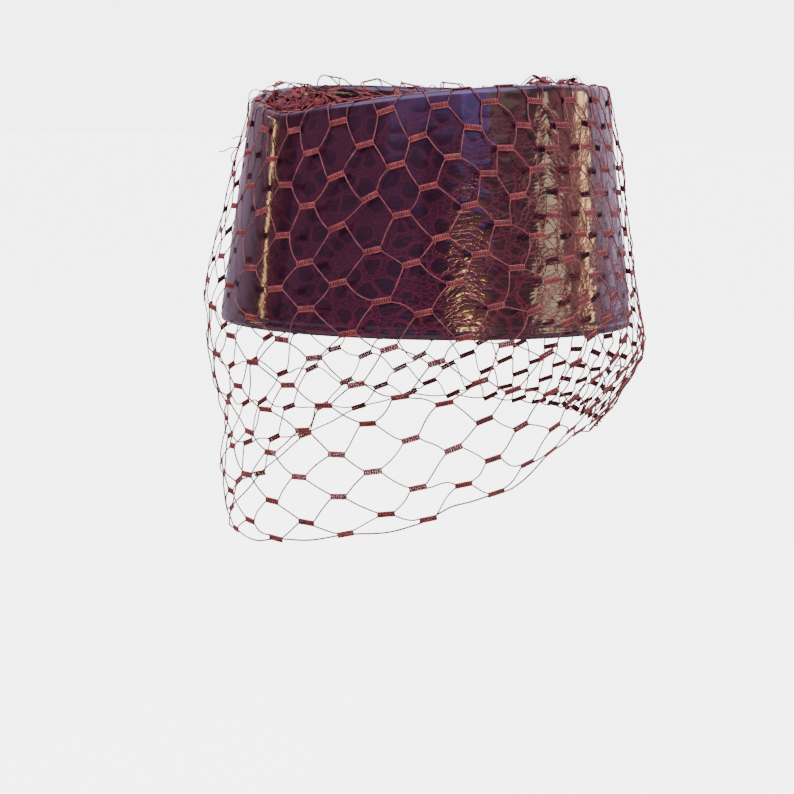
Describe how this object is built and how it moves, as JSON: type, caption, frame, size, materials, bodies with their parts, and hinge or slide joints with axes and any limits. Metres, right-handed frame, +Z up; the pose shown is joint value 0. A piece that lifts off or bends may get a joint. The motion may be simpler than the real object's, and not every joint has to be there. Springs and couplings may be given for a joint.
{
  "type": "pillbox hat with a face veil",
  "caption": "Tall oval pillbox hat in crocodile-grained patent leather, dipped at the front, with a sunken crown and an open net face veil.",
  "frame": {"origin": "middle of the head opening, level with the hat's lower edge", "axes": "+Z up through the crown, -Y towards the wearer's front, +X towards the wearer's left"},
  "size_m": [0.204, 0.2213, 0.2196],
  "materials": {
    "patent_leather": "glossy patent, dark aubergine, embossed in rounded scales",
    "crown_leather": "glossy patent, dark aubergine, plain",
    "netting": "matt brick red thread, open hexagonal net with woven bars",
    "gathered_netting": "matt brick red net, crumpled and stitched down"
  },
  "bodies": {
    "root": {"side_band": "patent_leather", "crown_tip": "crown_leather", "veil": "netting", "veil_hem_thread": "netting", "front_gather": "gathered_netting", "back_gather": "gathered_netting", "crown_strip": "gathered_netting"}
  },
  "joints": []
}
